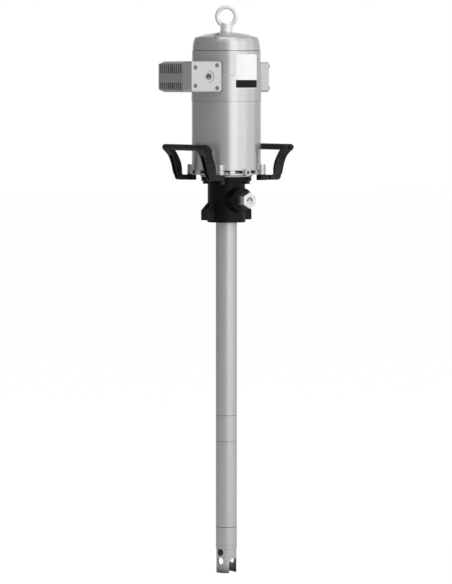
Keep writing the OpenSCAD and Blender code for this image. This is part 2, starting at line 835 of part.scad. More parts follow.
module pilot_gasket() {
    color("dimgray") translate([pilot_seat_x, 0, pilot_mid]) rotate([90, 0, 90]) linear_extrude(gasket_t)
        difference() {
            rounded_plate(pilot_half - 1, pilot_h / 2 - 1, 5);
            rounded_plate(pilot_room[0] - 2, pilot_room[1] - 2, 3);
            for (y = [-1, 1], z = [-1, 1])
                translate([y * pilot_screw_y, z * pilot_screw_z]) circle(m5_r + gap);
        }
}

module pilot_screws() {
    color("silver") for (y = [-1, 1], z = [-1, 1])
        translate([pilot_out, y * pilot_screw_y, pilot_mid + z * pilot_screw_z]) rotate([0, -90, 0])
            socket_screw(m5_r, m5_head_r, m5_head_h, pilot_out - pilot_in + gasket_t + bite);
}

module trip_rod() {
    color("silver") {
        disc(trip_r, trip_low, block_mid);
        disc(trip_r + 0.5, trip_low, trip_low + 4);
    }
}

// Inner edge of an arm, seen along the grip, from the bar down, moved outwards by inset
function arm_inner(inset) = concat([[grip_x - 4 + inset * 0.3, grip_z + 4]],
    [for (p = [[-8.5, 1], [-11.5, -3], [-16.5, -10], [-21.5, -18], [-26, -27], [-28.4, -34]])
        [grip_x + p[0] + inset, grip_z + p[1]]], [[arm_in_x + inset, grip_z - 43]]);

// Outline of an arm, seen along the grip: a leg that leans out and flares into the bar
function arm_points() = concat(
    [for (a = [-90:18:0]) [arm_out_x - heel_r + heel_r * cos(a),
        arm_low_z + pad_step + heel_r + heel_r * sin(a)]],
    [for (p = [[-11.5, -49.5], [-9.5, -40], [-7.2, -32], [-4.6, -23.5],
        [-1.4, -16], [2.5, -9.5], [5, -4.5], [3, 4]])
        [grip_x + p[0], grip_z + p[1]]],
    arm_inner(0),
    [[arm_in_x, lug_face + 4], [arm_in_x - 4, lug_face - pad_step], [arm_in_x - 10, lug_face - pad_step],
        [arm_in_x - 10, arm_low_z + pad_step]]);

// What the rest of the arm lacks beside its outer flange
function relief_points() = concat([[grip_x - 4, grip_z + 12]], arm_inner(arm_inset),
    [[arm_in_x + arm_inset, arm_low_z - e], [arm_in_x - 20, arm_low_z - e], [arm_in_x - 20, grip_z + 12]]);

// The groove in the outer edge of an arm
function groove_points() = concat(
    [[arm_out_x + 2.5 - groove_d, arm_low_z - e], [arm_out_x + 2.5 - groove_d, arm_low_z + 14]],
    [for (p = [[-11.5, -49.5], [-7.2, -32], [-4.6, -23.5], [0, -18], [6, -15]])
        [grip_x + p[0] - groove_d, grip_z + p[1]]],
    [[grip_x + 20, grip_z - 14.5], [grip_x + 20, arm_low_z - e]]);

// Half section of the grip's bar: two thick ends with rounded rims and a thin middle
function bar_profile(len, thick0, thick1) = concat([[0, 0]],
    [for (a = [-90:30:0]) [grip_r - rim_r + rim_r * cos(a), rim_r + rim_r * sin(a)]],
    [[grip_r, thick0], [core_r, thick0], [core_r, len - thick1], [grip_r, len - thick1]],
    [for (a = [0:30:90]) [grip_r - rim_r + rim_r * cos(a), len - rim_r + rim_r * sin(a)]],
    [[0, len]]);

// One arm with its foot, on the +X side: y is the arm's middle, and the bar's end lies at y_end
module handle_arm(y, y_end) {
    side = sign(y);
    face = arm_t / 2;
    reach = abs(y_end - y) - rim_r;
    translate([0, y, 0]) mirror([0, side < 0 ? 1 : 0, 0]) difference() {
        along_y(-face, reach) polygon(arm_points());
        along_y(-face - e, face - arm_wall) polygon(relief_points());
        along_y(-groove_w / 2, groove_w / 2) polygon(groove_points());
        // The bend, which carries the outer flange forward to the bar's end
        translate([lug_xy, 0, 0]) rotate([90, 0, 90]) linear_extrude(grip_x)
            polygon([[face, arm_low_z - e], [face, grip_z - 34], [face + 0.6, grip_z - 24],
                [face + 2, grip_z - 17],
                [face + 0.5 * (reach - face), grip_z - 10], [reach + e, grip_z - 4],
                    [reach + e, arm_low_z - e]]);
    }
    // The foot, from the leg to the pad under the lug
    translate([0, 0, arm_low_z + pad_step]) linear_extrude(foot_t - 2 * pad_step)
        polygon([[lug_xy, side * (lug_xy - pad_r + 1)], [arm_in_x + arm_inset + 1, y - side * (face - 0.5)],
            [arm_in_x + arm_inset + 1, y + side * (face - 0.5)], [lug_xy, side * (lug_xy + pad_r - 1)]]);
}

// The handle on the +X side: two arms, their pads and the bar through the grip
module handle() {
    difference() {
        union() {
            handle_arm(-arm_front_y, -grip_front);
            handle_arm(arm_rear_y, grip_rear);
            for (s = [-1, 1]) translate([lug_xy, s * lug_xy, 0]) disc(pad_r, arm_low_z, lug_face);
            translate([grip_x, grip_rear, grip_z]) rotate([90, 0, 0]) rotate_extrude()
                polygon(bar_profile(grip_rear + grip_front, grip_rear - sleeve_y1 - gap,
                    grip_front + sleeve_y0 - gap));
        }
        for (s = [-1, 1]) translate([lug_xy, s * lug_xy, 0]) {
            disc(m8_r + gap, arm_low_z - e, lug_face + e);
            disc(m8_head_r + gap, arm_low_z - e, arm_low_z + sink);
        }
    }
}

module grip() {
    translate([grip_x, sleeve_y1, grip_z]) rotate([90, 0, 0]) difference() {
        cylinder(r = grip_r, h = sleeve_y1 - sleeve_y0);
        translate([0, 0, -e]) cylinder(r = core_r + fit, h = sleeve_y1 - sleeve_y0 + 2 * e);
    }
}

module left_handle() {
    color([0.12, 0.12, 0.13]) mirror([1, 0, 0]) handle();
}

module right_handle() {
    color([0.12, 0.12, 0.13]) handle();
}

module left_grip() {
    color([0.2, 0.2, 0.21]) mirror([1, 0, 0]) grip();
}

module right_grip() {
    color([0.2, 0.2, 0.21]) grip();
}

module handle_bolts() {
    color("gray") at_lugs() translate([0, 0, arm_low_z + sink])
        socket_screw(m8_r, m8_head_r, m8_head_h, foot_t - sink + flange_t + bite - 1);
}

module outlet_body() {
    color([0.1, 0.1, 0.1]) difference() {
        union() {
            disc(body_flange_r, body_h - body_flange_t, body_h);
            disc(neck_r, base_h - e, body_h);
            disc(base_r, 0, base_h);
            translate([-ear_x, -ear_half, ear_low]) cube([2 * ear_x, 2 * ear_half, ear_top - ear_low]);
            along_y(-ear_half + 0.5, ear_half - 0.5)
                polygon([[-ear_x + 0.5, ear_low + 0.5], [-ear_x + 0.5, ear_top + 1.5],
                    [-neck_r + 0.5, ear_slope_top],
                    [neck_r - 0.5, ear_slope_top], [ear_x - 0.5, ear_top + 1.5],
                        [ear_x - 0.5, ear_low + 0.5]]);
            translate([0, -outlet_boss_y, outlet_z]) rotate([-90, 0, 0])
                cylinder(r = outlet_boss_r, h = outlet_boss_y);
        }
        // Tube seat, grease chamber, packing and gland
        disc(tube_r + gap, -e, tube_recess);
        disc(joint_r, 0, tube_seat_z);
        disc(chamber_r, tube_seat_z - e, packing_z - 6);
        disc(rod_r + 1, packing_z - 7, packing_z + e);
        disc(packing_r, packing_z, gland_z + e);
        disc(gland_r, gland_z, body_h + e);
        // Outlet way and its thread
        translate([0, -outlet_boss_y - e, outlet_z]) rotate([-90, 0, 0]) cylinder(r = 10, h = 17 + e);
        translate([0, -outlet_boss_y - e, outlet_z]) rotate([-90, 0, 0])
            cylinder(r = outlet_bore_r, h = outlet_boss_y);
        for (a = [45:90:315]) rotate(a) translate([body_screw_r, 0, 0])
            disc(m6_r + gap, body_h - body_flange_t - e, body_h + e);
        for (s = [-1, 1]) translate([s * ear_hole_x, 0, 0]) {
            disc(4.5, -e, ear_slope_top);
            disc(ear_spot_r, ear_top, ear_slope_top + e);
        }
    }
}

module body_screws() {
    color("gray") for (a = [45:90:315]) rotate(a) translate([body_screw_r, 0, body_h - body_flange_t])
        socket_screw(m6_r, m6_head_r, m6_head_h, body_flange_t + bite);
}

module outlet_fitting() {
    color("gainsboro") translate([0, -outlet_boss_y, outlet_z]) rotate([90, 0, 0]) difference() {
        union() {
            rotate(30) cylinder(r = fitting_af / 2 / cos(30), h = fitting_len, $fn = 6);
            translate([0, 0, -15]) cylinder(r = 10 - fit, h = 15 + e);
        }
        translate([0, 0, -15 - e]) cylinder(r = outlet_bore_r, h = fitting_len + 15 + 2 * e);
    }
}

module packing_rings() {
    color("wheat") for (i = [0:3])
        ring(packing_r - fit, rod_r + fit, packing_z + 3 * i, packing_z + 3 * i + 2.9);
}

module gland_nut() {
    color("goldenrod") {
        ring(gland_r - fit, rod_r + 2 * fit, gland_z, body_h - 2);
    }
}

module air_piston() {
    color("silver") difference() {
        disc(bore_r - gap, piston_z, piston_z + piston_t);
        ring(bore_r + e, bore_r - 5, piston_z + 7, piston_z + 13);
        disc(rod_r - 4, piston_z - e, piston_z + piston_t + e);
    }
}

module piston_seal() {
    color("black") ring(bore_r - fit, bore_r - 5 + fit, piston_z + 7, piston_z + 13);
}

module piston_nut() {
    color("silver") difference() {
        translate([0, 0, piston_z + piston_t]) cylinder(r = nut_af / 2 / cos(30), h = nut_h, $fn = 6);
        disc(rod_r - 4, piston_z, piston_z + piston_t + nut_h + e);
    }
}

module piston_rod() {
    color("silver") difference() {
        union() {
            disc(rod_r, rod_low + rod_joint, piston_z);
            disc(rod_r - 4 - fit, piston_z - e, piston_z + piston_t + nut_h);
            disc(rod_r - 3, rod_low, rod_low + rod_joint + e);
        }
        disc(trip_bore_r, trip_low - stroke - 6, piston_z + piston_t + nut_h + e);
    }
}

// The sleeve that joins the air piston's rod to the connecting rod
module rod_coupling() {
    color("gray") difference() {
        disc(coupling_r, rod_low + rod_joint - coupling_len, rod_low + rod_joint);
        disc(rod_r - 3 + fit, rod_low, rod_low + rod_joint + e);
        disc(link_r + fit, rod_low + rod_joint - coupling_len - e, rod_low + e);
    }
}

module connecting_rod() {
    color("silver") disc(link_r, pump_piston_z + pump_piston_len - 6, rod_low);
}

module down_tube() {
    color("lightgray") difference() {
        union() {
            disc(tube_r, sleeve_z, 0);
            disc(spigot_r, -e, tube_seat_z);
            disc(spigot_r, sleeve_z - joint_len, sleeve_z + e);
        }
        disc(tube_bore_r, sleeve_z - joint_len - e, tube_seat_z + e);
        seal_groove(tube_seat_z - 6);
        seal_groove(sleeve_z - 8);
    }
}

// A seal groove in a threaded end
module seal_groove(z) {
    ring(joint_r + e, joint_r - 1.3, z, z + 2.6);
}

module joint_seals() {
    color("black") for (z = [tube_seat_z - 6, sleeve_z - 8, pump_z + 5.4, housing_z - seal_in])
        seal_ring(joint_r - fit, joint_r - 1.3 + fit, z, 2.6);
}

module coupling_sleeve() {
    color("lightgray") difference() {
        disc(tube_r, pump_z, sleeve_z);
        disc(joint_r, sleeve_z - joint_len, sleeve_z + e);
        disc(tube_bore_r, pump_z - e, sleeve_z + e);
        disc(joint_r, pump_z - e, pump_z + joint_len);
    }
}

module pump_cylinder() {
    color("lightgray") difference() {
        union() {
            disc(tube_r, housing_z, pump_z);
            disc(spigot_r, pump_z - e, pump_z + joint_len);
            disc(spigot_r, housing_z - joint_len, housing_z + e);
        }
        disc(pump_bore_r, housing_z - joint_len - e, pump_z + joint_len + e);
        seal_groove(pump_z + 5.4);
        seal_groove(housing_z - seal_in);
        translate([-tube_r, 0, stop_pin_z]) rotate([0, 90, 0]) cylinder(r = stop_pin_r + fit, h = 2 * tube_r);
    }
}

module pump_piston() {
    color("silver") difference() {
        union() {
            disc(pump_bore_r - fit, pump_piston_z, pump_piston_z + pump_piston_len / 2);
            disc(pump_bore_r - 3.5, pump_piston_z, pump_piston_z + pump_piston_len);
        }
        disc(link_r + fit, pump_piston_z + pump_piston_len - 6, pump_piston_z + pump_piston_len + e);
        disc(piston_chamber_r + 2, pump_piston_z - e, pump_piston_z + piston_seat_h);
        disc(piston_chamber_r, pump_piston_z, pump_piston_z + chamber_h);
        for (a = [0:90:270]) rotate(a) translate([0, 0, pump_piston_z + piston_seat_h + 10])
            rotate([0, 55, 0])
            cylinder(r = 2.5, h = 24);
    }
}

module piston_valve_seat() {
    color("goldenrod") ring(piston_chamber_r + 2 - fit, piston_seat_r,
        pump_piston_z, pump_piston_z + piston_seat_h);
}

module piston_ball() {
    color("silver") translate([0, 0, pump_piston_z + piston_seat_h + piston_ball_rise]) sphere(piston_ball_r);
}

module foot_valve_housing() {
    color("lightgray") difference() {
        disc(tube_r, foot_z, housing_z);
        disc(joint_r, chamber_top, housing_z + e);
        disc(valve_chamber_r, valve_seat_z, chamber_top + e);
        disc(valve_seat_r + fit, foot_z - e, valve_seat_z + valve_seat_h);
    }
}

module foot_valve_seat() {
    color("goldenrod") ring(valve_seat_r, valve_hole_r, valve_seat_z, valve_seat_z + valve_seat_h);
}

module foot_ball() {
    color("silver") translate([0, 0, foot_ball_z]) sphere(foot_ball_r);
}

module ball_stop_pin() {
    color("gray") translate([-spigot_r + gap, 0, stop_pin_z]) rotate([0, 90, 0])
        cylinder(r = stop_pin_r, h = 2 * (spigot_r - gap));
}

module inlet_foot() {
    foot_bore = foot_r - foot_wall;
    color("lightgray") difference() {
        union() {
            disc(foot_r, foot_end, foot_z);
            disc(valve_seat_r, foot_z - e, valve_seat_z);
        }
        disc(foot_bore, foot_end - e, foot_z - 2);
        disc(valve_seat_r - 4, foot_end - e, valve_seat_z + e);
        rotate(foot_turn) {
            // Two round holes on each side, one above the other
            for (z = [0, hole_pitch]) translate([-foot_r - e, 0, foot_end + hole_low + z]) rotate([0, 90, 0])
                cylinder(r = inlet_hole_r, h = 2 * foot_r + 2 * e);
            // The arched notch, through the front and the back
            along_y(-foot_r - e, foot_r + e) {
                translate([0, foot_end + notch_h - notch_half]) circle(notch_half);
                translate([-notch_half, foot_end - e]) square([2 * notch_half, notch_h - notch_half + e]);
            }
        }
    }
}

lifting_eye();
top_cap();
cap_gasket();
cap_screws();
vent_plug();
motor_head();
head_seal();
air_cylinder();
flange_seal();
lower_flange();
drain_plug();
rod_bushing();
rod_seal();
label_plate();
valve_block();
block_gasket();
inlet_block();
inlet_screws();
rear_plate();
rear_screws();
valve_spool();
spool_seals();
silencer_cover();
silencer_screws();
silencer_pad();
pilot_cover();
pilot_gasket();
pilot_screws();
trip_rod();
left_handle();
right_handle();
left_grip();
right_grip();
handle_bolts();
outlet_body();
body_screws();
outlet_fitting();
packing_rings();
gland_nut();
air_piston();
piston_seal();
piston_nut();
piston_rod();
rod_coupling();
connecting_rod();
down_tube();
coupling_sleeve();
joint_seals();
pump_cylinder();
pump_piston();
piston_valve_seat();
piston_ball();
foot_valve_housing();
foot_valve_seat();
foot_ball();
ball_stop_pin();
inlet_foot();
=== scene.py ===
import json
import math
import bpy
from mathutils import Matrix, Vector


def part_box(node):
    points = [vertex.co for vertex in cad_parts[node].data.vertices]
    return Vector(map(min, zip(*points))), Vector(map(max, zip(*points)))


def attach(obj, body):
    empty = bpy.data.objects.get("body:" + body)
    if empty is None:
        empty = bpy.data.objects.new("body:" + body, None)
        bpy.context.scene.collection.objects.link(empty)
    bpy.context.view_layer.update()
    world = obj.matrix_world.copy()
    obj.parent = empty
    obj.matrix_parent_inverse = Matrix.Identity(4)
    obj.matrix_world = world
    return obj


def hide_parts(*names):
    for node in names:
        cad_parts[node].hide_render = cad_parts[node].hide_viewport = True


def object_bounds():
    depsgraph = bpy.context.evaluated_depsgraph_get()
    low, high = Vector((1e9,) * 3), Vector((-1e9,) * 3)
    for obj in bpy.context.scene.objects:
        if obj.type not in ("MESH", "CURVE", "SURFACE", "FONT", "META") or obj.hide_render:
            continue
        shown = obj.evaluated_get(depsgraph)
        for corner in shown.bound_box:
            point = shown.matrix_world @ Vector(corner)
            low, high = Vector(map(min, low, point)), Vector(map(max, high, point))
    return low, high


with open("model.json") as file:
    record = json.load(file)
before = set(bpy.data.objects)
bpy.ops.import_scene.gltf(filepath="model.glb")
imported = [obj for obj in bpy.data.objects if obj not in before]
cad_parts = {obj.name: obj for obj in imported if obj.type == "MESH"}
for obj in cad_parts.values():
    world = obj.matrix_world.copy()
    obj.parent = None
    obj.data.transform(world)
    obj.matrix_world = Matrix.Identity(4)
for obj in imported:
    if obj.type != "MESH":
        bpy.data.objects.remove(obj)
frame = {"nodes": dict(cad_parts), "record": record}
cad_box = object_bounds()
scene = bpy.context.scene
bpy.ops.object.select_all(action="DESELECT")


# ---- View ----
# The camera stands seven metres away, to the left of the pump's front, and looks slightly down.
# The values were fitted to the places of seams, corners and tube edges in the photograph.
view_turn = math.radians(-34.9)
view_tilt = math.radians(3.4)
view_distance = 7.0
view_lens = 216.2
view_reach = 60
view_aim = Vector((-0.0006, 0.0004, -0.1398))
forward = Vector((-math.sin(view_turn) * math.cos(view_tilt),
                  math.cos(view_turn) * math.cos(view_tilt), -math.sin(view_tilt)))
bpy.ops.object.camera_add(location=view_aim - view_distance * forward,
                          rotation=forward.to_track_quat("-Z", "Y").to_euler())
camera = bpy.context.object
camera.data.lens = view_lens
camera.data.clip_end = view_reach
scene.camera = camera
scene.view_settings.view_transform = "Standard"


# ---- Studio ----
# A white backdrop shows behind the pump and in what mirrors it. The rest of the room is a plain grey that
# gets lighter to the right. Three tall soft panels stand from the front round to the right, weak ones stand
# at the left and the rear, and one hangs above. The floor is pale paper.
def add_node(tree, kind, inputs=None, **values):
    """A node with its settings, and the values of its inputs by name or number."""
    node = tree.nodes.new(kind)
    for key, value in values.items():
        setattr(node, key, value)
    for key, value in (inputs or {}).items():
        node.inputs[key].default_value = value
    return node


def join(tree, *links):
    """Links in a node tree, each from an output to an input."""
    for source, target in links:
        tree.links.new(source, target)


to_the_right = (0.82, -0.572, 0.0)
to_the_back = (0.572, 0.82, 0.0)
world = bpy.data.worlds.new("studio")
scene.world = world
world.use_nodes = True
tree = world.node_tree
tree.nodes.clear()
rays = add_node(tree, "ShaderNodeLightPath")
look = add_node(tree, "ShaderNodeTexCoord")
side = add_node(tree, "ShaderNodeVectorMath", {1: to_the_right}, operation="DOT_PRODUCT")
room = add_node(tree, "ShaderNodeMapRange", {"From Min": -0.6, "From Max": 0.7,
                                             "To Min": 0.26, "To Max": 0.72})
behind = add_node(tree, "ShaderNodeVectorMath", {1: to_the_back}, operation="DOT_PRODUCT")
backdrop = add_node(tree, "ShaderNodeMapRange", {"From Min": 0.86, "From Max": 0.98})
mirrored = add_node(tree, "ShaderNodeMath", operation="MAXIMUM")
through = add_node(tree, "ShaderNodeMath", operation="MULTIPLY")
seen = add_node(tree, "ShaderNodeMath", operation="MAXIMUM")
shade = add_node(tree, "ShaderNodeMix", {"B": 1.0}, data_type="FLOAT")
light = add_node(tree, "ShaderNodeBackground", {"Color": (1, 1, 1, 1)})
out = add_node(tree, "ShaderNodeOutputWorld")
join(tree,
     (look.outputs["Generated"], side.inputs[0]), (side.outputs["Value"], room.inputs["Value"]),
     (look.outputs["Generated"], behind.inputs[0]), (behind.outputs["Value"], backdrop.inputs["Value"]),
     (rays.outputs["Is Glossy Ray"], mirrored.inputs[0]),
     (rays.outputs["Is Transmission Ray"], mirrored.inputs[1]),
     (mirrored.outputs[0], through.inputs[0]), (backdrop.outputs["Result"], through.inputs[1]),
     (through.outputs[0], seen.inputs[0]), (rays.outputs["Is Camera Ray"], seen.inputs[1]),
     (seen.outputs[0], shade.inputs["Factor"]), (room.outputs["Result"], shade.inputs["A"]),
     (shade.outputs["Result"], light.inputs["Strength"]), (light.outputs[0], out.inputs["Surface"]))


def panel(name, turn, distance, height, width, tall, watts, mirrored=True):
    """A soft light panel, turned from the camera's side to the right in degrees, that faces the pump."""
    angle = view_turn + math.radians(turn)
    place = Vector((math.sin(angle) * distance, -math.cos(angle) * distance, height))
    aim_height = height * 0.35 - 0.1
    aim = (Vector((0, 0, aim_height)) - place).to_track_quat("-Z", "Y").to_euler()
    bpy.ops.object.light_add(type="AREA", location=place, rotation=aim)
    lamp = bpy.context.object
    lamp.name = name
    lamp.data.shape = "RECTANGLE"
    lamp.data.size = width
    lamp.data.size_y = tall
    lamp.data.energy = watts
    lamp.visible_glossy = mirrored


panel("key_strip", turn=22, distance=3.0, height=0.4, width=1.3, tall=3.6, watts=21)
panel("key_panel", turn=50, distance=3.05, height=0.4, width=2.0, tall=3.6, watts=20)
panel("side_panel", turn=86, distance=3.1, height=0.4, width=2.4, tall=3.6, watts=13)
panel("left_fill", turn=-50, distance=3.2, height=0.3, width=1.6, tall=3.0, watts=3, mirrored=False)
panel("top_fill", turn=0, distance=1.2, height=2.6, width=2.6, tall=2.2, watts=26)
panel("rear_fill", turn=175, distance=3.2, height=0.5, width=2.6, tall=3.2, watts=7, mirrored=False)

floor_width = 40
floor_gap = 0.001
bpy.ops.mesh.primitive_grid_add(x_subdivisions=8, y_subdivisions=8, size=floor_width,
                                location=(0, 0, cad_box[0].z - floor_gap))
floor = bpy.context.object
floor.name = "floor"
paper = bpy.data.materials.new("floor_paper")
paper.use_nodes = True
tree = paper.node_tree
tree.nodes.clear()
rays = add_node(tree, "ShaderNodeLightPath")
sheet = add_node(tree, "ShaderNodeBsdfDiffuse", {"Color": (0.84, 0.84, 0.84, 1)})
glow = add_node(tree, "ShaderNodeEmission", {"Strength": 1.06})
glow_share = add_node(tree, "ShaderNodeMath", {1: 0.9}, operation="MULTIPLY")
mix = add_node(tree, "ShaderNodeMixShader")
out = add_node(tree, "ShaderNodeOutputMaterial")
join(tree,
     (rays.outputs["Is Camera Ray"], glow_share.inputs[0]), (glow_share.outputs[0], mix.inputs[0]),
     (sheet.outputs[0], mix.inputs[1]), (glow.outputs[0], mix.inputs[2]), (mix.outputs[0], out.inputs[0]))
floor.data.materials.append(paper)


# ---- Outlet body ----
# A black painted iron casting with two mounting ears and a round boss for the grease outlet.
# Four black screws hold it up against the motor's flange.
def dressed(name, node, body, material, edge=0.0, steps=2, shaped=None):
    """A merged copy of a CAD piece, which stands for that piece.

    Its edges are rounded by at most edge. The rounding is clamped, so one short edge holds it back on the
    whole piece: the long tube, grips and fitting get it in full, and most castings hardly any of it.
    shaped(piece) may work on the copy before that.
    """
    same_point = 0.00001
    nearly_flat = math.radians(0.6)
    corner = math.radians(32)
    bpy.ops.object.select_all(action="DESELECT")
    piece = bpy.data.objects.new(name, frame["nodes"][node].data.copy())
    scene.collection.objects.link(piece)
    bpy.context.view_layer.objects.active = piece
    piece.select_set(True)
    bpy.ops.object.mode_set(mode="EDIT")
    bpy.ops.mesh.select_all(action="SELECT")
    bpy.ops.mesh.customdata_custom_splitnormals_clear()
    bpy.ops.mesh.remove_doubles(threshold=same_point)
    bpy.ops.mesh.dissolve_limited(angle_limit=nearly_flat)
    bpy.ops.object.mode_set(mode="OBJECT")
    if shaped:
        shaped(piece)
    if edge:
        bevel = piece.modifiers.new("rounded", "BEVEL")
        bevel.width = edge
        bevel.segments = steps
        bevel.limit_method = "ANGLE"
        bevel.angle_limit = corner
        bevel.use_clamp_overlap = True
        bevel.miter_outer = "MITER_ARC"
        bpy.ops.object.modifier_apply(modifier="rounded")
    bpy.ops.object.shade_smooth_by_angle(angle=corner)
    even = piece.modifiers.new("even_shading", "WEIGHTED_NORMAL")
    even.keep_sharp = True
    bpy.ops.object.modifier_apply(modifier="even_shading")
    piece.data.materials.clear()
    piece.data.materials.append(material)
    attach(piece, body)
    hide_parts(node)


def new_group(name, ins, outs):
    """An empty effect with named inputs and outputs, and its two end nodes."""
    group = bpy.data.node_groups.new(name, "ShaderNodeTree")
    for label, kind, value in ins:
        socket = group.interface.new_socket(label, in_out="INPUT", socket_type="NodeSocket" + kind)
        socket.default_value = value
    for label, kind in outs:
        group.interface.new_socket(label, in_out="OUTPUT", socket_type="NodeSocket" + kind)
    return group, group.nodes.new("NodeGroupInput"), group.nodes.new("NodeGroupOutput")


# The grain of a surface: a fine pattern and a slow cloud that vary its tone, gloss and height
grain, ins, outs = new_group("surface_grain", (
    ("Colour", "Color", (0.5, 0.5, 0.5, 1)), ("Stretch", "Vector", (900, 900, 900)),
    ("Tone Spread", "Float", 0.1), ("Roughness", "Float", 0.4), ("Rough Spread", "Float", 0.1)),
    (("Colour", "Color"), ("Roughness", "Float"), ("Height", "Float")))
place = add_node(grain, "ShaderNodeTexCoord")
scaled = add_node(grain, "ShaderNodeVectorMath", operation="MULTIPLY")
fine = add_node(grain, "ShaderNodeTexNoise", {"Scale": 1.0, "Detail": 3.0})
slow = add_node(grain, "ShaderNodeTexNoise", {"Scale": 26.0, "Detail": 2.0})
both = add_node(grain, "ShaderNodeMix", {"Factor": 0.4}, data_type="FLOAT")
centred = add_node(grain, "ShaderNodeMath", {1: 0.5}, operation="SUBTRACT")
tone = add_node(grain, "ShaderNodeMath", {2: 1.0}, operation="MULTIPLY_ADD")
coloured = add_node(grain, "ShaderNodeVectorMath", operation="SCALE")
gloss = add_node(grain, "ShaderNodeMath", operation="MULTIPLY_ADD")
join(grain,
     (place.outputs["Object"], scaled.inputs[0]), (ins.outputs["Stretch"], scaled.inputs[1]),
     (scaled.outputs[0], fine.inputs["Vector"]), (place.outputs["Object"], slow.inputs["Vector"]),
     (fine.outputs["Fac"], both.inputs["A"]), (slow.outputs["Fac"], both.inputs["B"]),
     (both.outputs["Result"], centred.inputs[0]), (centred.outputs[0], tone.inputs[0]),
     (ins.outputs["Tone Spread"], tone.inputs[1]), (ins.outputs["Colour"], coloured.inputs[0]),
     (tone.outputs[0], coloured.inputs["Scale"]), (centred.outputs[0], gloss.inputs[0]),
     (ins.outputs["Rough Spread"], gloss.inputs[1]), (ins.outputs["Roughness"], gloss.inputs[2]),
     (coloured.outputs[0], outs.inputs["Colour"]), (gloss.outputs[0], outs.inputs["Roughness"]),
     (fine.outputs["Fac"], outs.inputs["Height"]))

# Rubbed edges and painted highlight: where a surface is convex, the paint thins and a painted highlight
# lightens it to a brighter colour
wear_and_highlight, ins, outs = new_group("rubbed_edge_and_highlight", (
    ("Colour", "Color", (0.1, 0.1, 0.1, 1)), ("Wear Highlight", "Color", (0.3, 0.3, 0.3, 1)),
    ("Amount", "Float", 0.3)), (("Colour", "Color"), ("Mask", "Float")))
shape = add_node(wear_and_highlight, "ShaderNodeNewGeometry")
convex = add_node(wear_and_highlight, "ShaderNodeMapRange", {"From Min": 0.53, "From Max": 0.62})
patchy = add_node(wear_and_highlight, "ShaderNodeTexNoise", {"Scale": 160.0})
place = add_node(wear_and_highlight, "ShaderNodeTexCoord")
part = add_node(wear_and_highlight, "ShaderNodeMath", operation="MULTIPLY")
amount = add_node(wear_and_highlight, "ShaderNodeMath", operation="MULTIPLY", use_clamp=True)
blend = add_node(wear_and_highlight, "ShaderNodeMix", data_type="RGBA")
join(wear_and_highlight,
     (shape.outputs["Pointiness"], convex.inputs["Value"]),
     (place.outputs["Object"], patchy.inputs["Vector"]),
     (convex.outputs["Result"], part.inputs[0]), (patchy.outputs["Fac"], part.inputs[1]),
     (part.outputs[0], amount.inputs[0]), (ins.outputs["Amount"], amount.inputs[1]),
     (amount.outputs[0], blend.inputs["Factor"]), (ins.outputs["Colour"], blend.inputs["A"]),
     (ins.outputs["Wear Highlight"], blend.inputs["B"]), (blend.outputs["Result"], outs.inputs["Colour"]),
     (amount.outputs[0], outs.inputs["Mask"]))


def finish(name, colour, rough, metal, stretch=(900, 900, 900), tone=0.12, spread=0.12, bump=0.06,
           depth=0.0002, wear_highlight=None, amount=0.5, shine=0.5):
    """A surface finish: its grain, its gloss, and its rubbed edges with a painted highlight where it has
    them.

    stretch is how fine the grain is along each axis, and tone and spread are how far it varies the
    colour and the roughness.
    """
    made = bpy.data.materials.new(name)
    made.use_nodes = True
    tree = made.node_tree
    shader = tree.nodes["Principled BSDF"]
    shader.inputs["Metallic"].default_value = metal
    shader.inputs["Specular IOR Level"].default_value = shine
    pattern = add_node(tree, "ShaderNodeGroup", {
        "Colour": (*colour, 1), "Stretch": stretch, "Tone Spread": tone, "Roughness": rough,
        "Rough Spread": spread}, node_tree=grain)
    raised = add_node(tree, "ShaderNodeBump", {"Strength": bump, "Distance": depth})
    join(tree,
         (pattern.outputs["Roughness"], shader.inputs["Roughness"]),
         (pattern.outputs["Height"], raised.inputs["Height"]), (raised.outputs[0], shader.inputs["Normal"]),
         (pattern.outputs["Colour"], shader.inputs["Base Color"]))
    if wear_highlight:
        edges = add_node(tree, "ShaderNodeGroup", {"Wear Highlight": (*wear_highlight, 1), "Amount": amount}, node_tree=wear_and_highlight)
        join(tree,
             (pattern.outputs["Colour"], edges.inputs["Colour"]),
             (edges.outputs["Colour"], shader.inputs["Base Color"]))
    return made


black_casting = finish("black_cast_paint", (0.003, 0.003, 0.0033), rough=0.32, metal=0.0,
                       stretch=(380, 380, 380), tone=0.6, spread=0.3, bump=0.7, depth=0.001,
                       wear_highlight=(0.04, 0.04, 0.04), shine=0.12)
dressed("outlet_casting", "outlet_body", "housing", black_casting, edge=0.0013, steps=3)
black_screw = finish("black_screw", (0.02, 0.02, 0.021), rough=0.38, metal=0.3, stretch=(1500, 1500, 1500),
                     tone=0.3, bump=0.1)
dressed("casting_screws", "body_screws", "housing", black_screw, edge=0.0004)


# ---- Outlet fitting ----
# A hexagon fitting of bright zinc-plated steel, screwed into the boss of the outlet body.
# Both ends of its hexagon are turned to a cone, and the thread in its bore takes the grease hose.
plated_bright = finish("bright_plated_steel", (0.62, 0.62, 0.63), rough=0.24, metal=0.95,
                       stretch=(1200, 1200, 1200), tone=0.08, spread=0.08, bump=0.03)
dressed("hose_fitting", "outlet_fitting", "housing", plated_bright, edge=0.0006)


